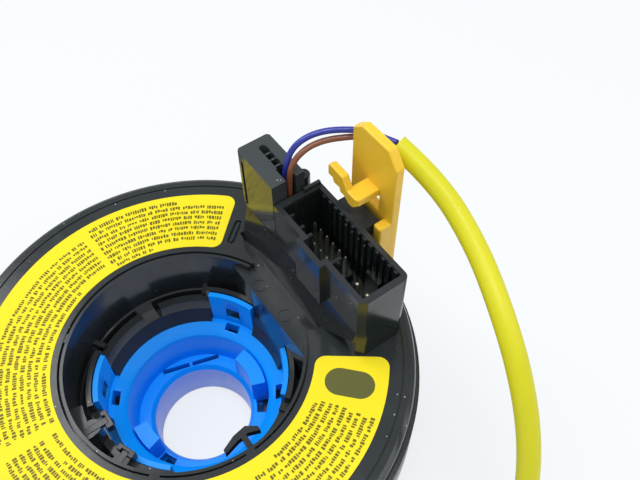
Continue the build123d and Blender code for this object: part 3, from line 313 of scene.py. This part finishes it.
finish_of = {
    "lower_case": case_nylon,
    "column_connector": case_nylon,
    "column_pins": tinned_brass,
    "column_squib_pins": tinned_brass,
    "column_terminal_block": case_nylon,
    "flat_cable_outer": strip_cable,
    "flat_cable_inner": strip_cable,
    "flat_cable_loop": strip_cable,
    "cable_carrier": carrier_acetal,
    "rotor_cover": disc_acetal,
    "rotor_sleeve": disc_acetal,
    "cam_ring": hub_acetal,
    "label": label_film,
    "upper_connector": connector_pbt,
    "terminal_box": box_pbt,
    "wire_clip": disc_acetal,
    "lead_frame": case_nylon,
    "inner_terminal_block": case_nylon,
    "signal_pins": tinned_brass,
    "power_pins": tinned_brass,
    "pin_insert": connector_pbt,
    "lead_plug": plug_pbt,
    "lead_plug_contacts": tinned_brass,
}
for node_name, material in finish_of.items():
    piece = nodes[node_name]
    piece.data.materials.clear()
    piece.data.materials.append(material)


def rounded(piece, width, segments=2, angle=35):
    """Rounds the edges of a moulding that turn more than an angle in degrees."""
    bevel = piece.modifiers.new("edges", "BEVEL")
    bevel.width = width * MM
    bevel.segments = segments
    bevel.limit_method = "ANGLE"
    bevel.angle_limit = radians(angle)
    bevel.use_clamp_overlap = True
    bevel.harden_normals = True


JOIN_GAP = 0.002  # points closer than this are joined before the edges are rounded
edge_mm = {
    "lower_case": 0.25,
    "column_connector": 0.2,
    "rotor_cover": 0.12,
    "cam_ring": 0.18,
    "upper_connector": 0.14,
    "terminal_box": 0.2,
    "lead_plug": 0.3,
}
for node_name, width in edge_mm.items():
    weld = nodes[node_name].modifiers.new("joined", "WELD")
    weld.merge_threshold = JOIN_GAP * MM
    rounded(nodes[node_name], width)


# Meshes of the pieces that are made here

def swept(mesh, outline, axis, low, high):
    """A solid of an outline in millimetres, swept along y or z between two levels."""
    def spot(pair, level):
        a, b = pair
        return (a, level, b) if axis == "y" else (a, b, level)
    near = [mesh.verts.new(mm(spot(pair, low))) for pair in outline]
    far = [mesh.verts.new(mm(spot(pair, high))) for pair in outline]
    mesh.faces.new(near)
    mesh.faces.new(far[::-1])
    for k in range(len(outline)):
        n = (k + 1) % len(outline)
        mesh.faces.new((near[n], near[k], far[k], far[n]))


def pierced(mesh, outline, window, low, high):
    """A plate of an outline with one window through it, swept along y."""
    edges = []
    for loop in (outline, window):
        ring = [mesh.verts.new(mm((x, low, z))) for x, z in loop]
        edges += [mesh.edges.new((ring[k - 1], ring[k])) for k in range(len(ring))]
    filled = bmesh.ops.triangle_fill(mesh, edges=edges, use_beauty=True)["geom"]
    faces = [item for item in filled if isinstance(item, bmesh.types.BMFace)]
    moved = bmesh.ops.extrude_face_region(mesh, geom=faces, use_keep_orig=True)["geom"]
    corners = [item for item in moved if isinstance(item, bmesh.types.BMVert)]
    bmesh.ops.translate(mesh, verts=corners, vec=mm((0, high - low, 0)))


def finished(mesh, name, material):
    """The scene's piece of a mesh, with its faces turned outwards and its material."""
    bmesh.ops.recalc_face_normals(mesh, faces=mesh.faces)
    data = bpy.data.meshes.new(name)
    mesh.to_mesh(data)
    mesh.free()
    data.materials.append(material)
    piece = bpy.data.objects.new(name, data)
    scene.collection.objects.link(piece)
    return piece


# Print on the label: rows of short marks in four blocks, and a round-ended badge

INK_T = 0.02
MARK_WIDTH = (0.28, 0.6)
MARK_GAP = (0.12, 0.22)
WORD_GAP = 0.55
dice = Random(7)


def print_row(r, az0, az1, height):
    """One row of marks along an arc, grouped as words are, with no letters in it."""
    marks = []
    length = radians(az1 - az0) * r
    at = 0.0
    while at < length - MARK_WIDTH[1]:
        for _ in range(dice.randint(2, 9)):
            wide = dice.uniform(*MARK_WIDTH)
            if at + wide > length:
                break
            low = r - height / 2 + dice.choice((0.0, 0.0, 0.25 * height))
            high = r + height / 2 - dice.choice((0.0, 0.0, 0.2 * height))
            a0 = az0 + (at / length) * (az1 - az0)
            a1 = az0 + ((at + wide) / length) * (az1 - az0)
            marks.append([polar(low, a0), polar(high, a0), polar(high, a1), polar(low, a1)])
            at += wide + dice.uniform(*MARK_GAP)
        at += WORD_GAP
    return marks


def printed(name, outlines, ink):
    """A thin layer of ink on the label, as one piece on the disc."""
    mesh = bmesh.new()
    for outline in outlines:
        swept(mesh, outline, "z", LABEL_Z, LABEL_Z + INK_T)
    piece = finished(mesh, name, ink)
    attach(piece, "rotor")


# radius, first and last direction, height of each row
print_rows = [(43.7, 153, 184, 1.15), (30.5, 165, 184, 0.95)]
print_rows += [(42.0 - 1.65 * k, 136.5, 184.3, 1.05) for k in range(7)]
print_rows += [(41.8 - 1.55 * k, 187, 266.5, 0.95) for k in range(7)]
print_rows += [(30.8, 203, 266.5, 0.95)]
print_rows += [(41.9 - 1.5 * k, 271, 330, 0.95) for k in range(6)]
print_rows += [(33.0, 283, 330, 0.95), (31.5, 271, 322, 0.95)]
print_rows += [(44.6 - 1.6 * k, 335, 394.6, 0.95) for k in range(8)]
print_rows += [(32.0, 366, 393.5, 0.95)]
printed("label_print", [mark for row in print_rows for mark in print_row(*row)], label_ink)

BADGE_AZ = 43.0
BADGE_R = 37.8  # from the shaft's axis to the badge's middle
BADGE_HALF = 2.3  # from the badge's middle to the centre of each round end
BADGE_END_R = 3.25
BADGE_STEPS = 16  # straight pieces that make up each round end
badge_way = Vector(polar(1.0, BADGE_AZ))
badge = []
for end, start in ((1, -90), (-1, 90)):
    centre = badge_way * (BADGE_R + BADGE_HALF * end)
    for k in range(BADGE_STEPS + 1):
        az = BADGE_AZ + start + 180 * k / BADGE_STEPS
        badge.append(tuple(centre + Vector(polar(BADGE_END_R, az))))
printed("label_badge", [badge], badge_ink)


# Lock key: a plate behind the connector, with a foot, an arm and a stepped finger to pull it by

PLATE_BOTTOM_Z = 44.3


def key_part(name, outline, axis, low, high, rounding, window=None):
    """One moulded member of the key, with its edges rounded."""
    mesh = bmesh.new()
    if window:
        pierced(mesh, outline, window, low, high)
    else:
        swept(mesh, outline, axis, low, high)
    piece = finished(mesh, name, key_polypropylene)
    rounded(piece, rounding, segments=3, angle=30)
    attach(piece, "lock")
    return piece


key_plate = key_part("key_plate", [
    (-3.4, PLATE_BOTTOM_Z), (-3.4, 84.15), (-0.65, 86.3),
    (7.9, 86.3), (10.9, 82.5), (10.9, PLATE_BOTTOM_Z),
], "y", KEY_Y0, PLATE_Y1, 0.45, window=[(1.9, 66.2), (6.3, 66.2), (6.3, 70.6), (1.9, 70.6)])
key_part("key_foot", [
    (8.4, KEY_Y0 - 3.0), (10.9, KEY_Y0 - 3.0), (10.9, KEY_Y0 + 1.2), (8.4, KEY_Y0 + 1.2),
], "z", PLATE_BOTTOM_Z, 65.7, 0.6)
key_part("key_tongue", [
    (8.95, KEY_Y0 - 2.4), (10.75, KEY_Y0 - 2.4), (10.75, KEY_Y0 - 0.6), (8.95, KEY_Y0 - 0.6),
], "z", 41.0, PLATE_BOTTOM_Z + 1.0, 0.2)
key_part("key_arm", [
    (1.9, CONN_Y1 + 0.2), (2.6, CONN_Y1 - 0.5), (5.6, CONN_Y1 - 0.5),
    (6.2, CONN_Y1 + 0.1), (6.2, KEY_Y0 + 1.0), (1.9, KEY_Y0 + 1.0),
], "z", 70.8, 73.0, 0.4)
key_part("key_finger", [
    (-3.6, 76.0), (0.85, 75.8), (3.3, 71.7), (5.9, 71.7), (5.9, 70.9), (4.6, 69.5), (3.3, 69.4),
    (1.6, 70.5), (0.2, 70.5), (-0.2, 71.6), (-2.2, 71.4), (-2.6, 72.6), (-4.2, 72.5), (-4.2, 75.4),
], "y", CONN_Y1 - 0.5, CONN_Y1 + 1.3, 0.3)
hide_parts("lock_key")


# Two small dark clips inside the opening, each a short arm with a notched bar across its end

CLIP_Z = 35.0
clip_bar = [
    (-2.3, 0.0), (-2.3, 1.5), (-1.1, 1.5), (-1.1, 0.9),
    (0.9, 0.9), (0.9, 1.7), (2.2, 1.7), (2.2, 0.0),
]


def clip(name, az, bar_r):
    """One clip at a direction round the shaft, with its bar at a radius."""
    out = Vector(polar(1.0, az))
    across = Vector(polar(1.0, az + 90))
    root = OPENING_R + 0.3 - bar_r
    clip_arm = [(-0.8, 0.6), (-0.8, root), (0.8, root), (0.8, 0.6)]
    mesh = bmesh.new()
    for outline, below, above in ((clip_bar, 0.9, 1.6), (clip_arm, 0.0, 1.2)):
        placed = [tuple(out * (bar_r + b) + across * a) for a, b in outline]
        swept(mesh, placed, "z", CLIP_Z - below, CLIP_Z + above)
    piece = finished(mesh, name, case_nylon)
    rounded(piece, 0.18, angle=40)
    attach(piece, "rotor")


clip("front_clip_left", 270, 20.3)
clip("front_clip_right", 293.5, 22.0)


# The airbag lead: its two wires and their sleeve

WIRE_D = 1.4
LEAD_D = 4.8
WIRE_FLOOR_Z = 62.0  # where the wires start in the terminal box
WIRE_SPREAD = 0.85  # from the lead's middle to each wire
MOUTH_GAP = 0.26  # between the wires' ends and the sleeve's mouth
sleeve_points = [
    (4.4, PLATE_Y1 + 3.1, 81.6),
    (14.0, PLATE_Y1 + 6.1, 77.6),
    (28.3, PLATE_Y1 + 4.7, 72.8),
    (41.5, PLATE_Y1 - 0.3, 70.4),
    (52.2, PLATE_Y1 - 3.7, 63.8),
    (60.9, PLATE_Y1 - 6.5, 53.0),
    (67.6, PLATE_Y1 - 10.5, 40.8),
    (73.6, PLATE_Y1 - 15.9, 28.9),
    (79.4, PLATE_Y1 - 22.9, 18.2),
    (84.4, PLATE_Y1 - 32.1, 10.2),
    (87.4, PLATE_Y1 - 43.5, 4.8),
    (86.9, PLATE_Y1 - 55.7, 2.5),
    (82.6, PLATE_Y1 - 67.1, 2.55),
    (75.6, PLATE_Y1 - 77.1, 2.5),
    (66.4, PLATE_Y1 - 85.1, 2.5),
]
lead_start = Vector(sleeve_points[0])
lead_dir = (Vector(sleeve_points[1]) - lead_start).normalized()
lead_side = lead_dir.cross(Vector((0, 1, 0))).normalized()
wire_dir = Vector((lead_dir.x, lead_dir.y, 0)).normalized()
blue_end = lead_start + lead_side * WIRE_SPREAD - wire_dir * MOUTH_GAP
brown_end = lead_start - lead_side * WIRE_SPREAD - wire_dir * MOUTH_GAP
blue_points = [
    (-11.4, SLOT_Y - 0.1, WIRE_FLOOR_Z),
    (-11.2, SLOT_Y, 71.0),
    (-11.2, SLOT_Y + 2.4, 77.8),
    (-10.0, SLOT_Y + 8.6, 79.7),
    (-5.6, PLATE_Y1 + 0.9, 79.4),
    tuple(blue_end - wire_dir * 4.5 - Vector((0, 0, 0.6))),
    tuple(blue_end),
]
brown_points = [
    (-9.6, SLOT_Y + 0.1, WIRE_FLOOR_Z),
    (-9.5, SLOT_Y, 70.4),
    (-9.6, SLOT_Y + 1.8, 75.8),
    (-9.3, SLOT_Y + 7.8, 77.7),
    (-5.4, PLATE_Y1 + 0.9, 77.6),
    tuple(brown_end - wire_dir * 3.8),
    tuple(brown_end),
]


def cord(name, points, diameter, material):
    """A round cord along a smooth spline with the route's points."""
    data = bpy.data.curves.new(name, "CURVE")
    data.dimensions = "3D"
    data.bevel_depth = diameter / 2 * MM
    data.bevel_resolution = 8
    data.resolution_u = 14
    data.use_fill_caps = True
    spline = data.splines.new("NURBS")
    spline.points.add(len(points) - 1)
    for target, point in zip(spline.points, points):
        target.co = (*mm(point), 1.0)
    spline.order_u = 3
    spline.use_endpoint_u = True
    data.materials.append(material)
    piece = bpy.data.objects.new(name, data)
    scene.collection.objects.link(piece)
    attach(piece, "rotor")
    return piece


blue = cord("airbag_wire_blue", blue_points, WIRE_D, wire_blue_pvc)
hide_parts("wire_blue")
brown = cord("airbag_wire_brown", brown_points, WIRE_D, wire_brown_pvc)
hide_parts("wire_brown")
sleeve = cord("airbag_lead_sleeve", sleeve_points, LEAD_D, sleeve_pvc)
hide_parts("lead_sleeve")


# Floor, world and lamps

GLOW_SHARE = 0.76  # how much of the floor, as the camera and mirrors see it, is its own white
GLOW_BORE_R = 13  # it keeps that white within this radius, seen through the shaft's bore
SHADE_OUT_R = 50  # inwards from here, under the case, the white fades
SHADE_IN_R = 28  # and here it is gone

floor_data = bpy.data.meshes.new("floor")
floor_data.from_pydata([(-3, -3, 0), (3, -3, 0), (3, 3, 0), (-3, 3, 0)], [], [(0, 1, 2, 3)])
floor = bpy.data.objects.new("floor", floor_data)
scene.collection.objects.link(floor)
# White paper, mat: bright and even, and in shade where it shows through the small holes.
floor_paper, tree, shader, place = surface("floor_paper")
shader.inputs["Base Color"].default_value = linear("#F4F5F7")
shader.inputs["Roughness"].default_value = 0.7
glow = add(tree, "ShaderNodeEmission", None, Color=linear("#F5F8FA"), Strength=1.0)
rays = add(tree, "ShaderNodeLightPath")
seen = add(tree, "ShaderNodeMath", {"operation": "MAXIMUM"},
           i0=rays.outputs["Is Camera Ray"], i1=rays.outputs["Is Glossy Ray"])
seen = add(tree, "ShaderNodeMath", {"operation": "MAXIMUM"},
           i0=seen.outputs[0], i1=rays.outputs["Is Transmission Ray"])
from_axis = add(tree, "ShaderNodeVectorMath", {"operation": "LENGTH"}, i0=place).outputs["Value"]
past_bore = add(tree, "ShaderNodeMath", {"operation": "GREATER_THAN"},
                i0=from_axis, i1=GLOW_BORE_R * MM)
under_case = add(tree, "ShaderNodeMapRange", {"interpolation_type": "SMOOTHSTEP"},
                 Value=from_axis, From_Min=SHADE_OUT_R * MM, From_Max=SHADE_IN_R * MM)
hidden = add(tree, "ShaderNodeMath", {"operation": "MULTIPLY"},
             i0=past_bore.outputs[0], i1=under_case.outputs["Result"])
open_floor = add(tree, "ShaderNodeMath", {"operation": "SUBTRACT"}, i0=1.0, i1=hidden.outputs[0])
seen = add(tree, "ShaderNodeMath", {"operation": "MULTIPLY"},
           i0=seen.outputs[0], i1=open_floor.outputs[0])
share = add(tree, "ShaderNodeMath", {"operation": "MULTIPLY"}, i0=seen.outputs[0], i1=GLOW_SHARE)
blend = add(tree, "ShaderNodeMixShader", None,
            i0=share.outputs[0], i1=shader.outputs[0], i2=glow.outputs[0])
tree.links.new(blend.outputs[0], tree.nodes["Material Output"].inputs["Surface"])
floor_data.materials.append(floor_paper)

world = bpy.data.worlds.new("studio")
scene.world = world
world.use_nodes = True
tree = world.node_tree
sky = tree.nodes["Background"]
sky.inputs["Color"].default_value = linear("#F6F9FF")
sky.inputs["Strength"].default_value = 0.62
white = add(tree, "ShaderNodeBackground", None, Color=linear("#FCFDFF"), Strength=1.0)
rays = add(tree, "ShaderNodeLightPath")
blend = add(tree, "ShaderNodeMixShader", None,
            i0=rays.outputs["Is Camera Ray"], i1=sky.outputs[0], i2=white.outputs[0])
tree.links.new(blend.outputs[0], tree.nodes["World Output"].inputs["Surface"])


def lamp(name, place, target, size, power):
    """A square soft lamp that faces a point, in millimetres and watts."""
    data = bpy.data.lights.new(name, "AREA")
    data.size = size * MM
    data.energy = power
    lit = bpy.data.objects.new(name, data)
    lit.location = mm(place)
    lit.rotation_euler = (mm(place) - mm(target)).to_track_quat("Z", "Y").to_euler()
    scene.collection.objects.link(lit)


lamp("lamp_key", (-330, -150, 560), (0, 10, 30), 280, 1.35)
lamp("lamp_side", (330, 420, 420), (10, 10, 30), 300, 0.6)
lamp("lamp_top", (70, 10, 640), (0, 0, 20), 240, 1.6)
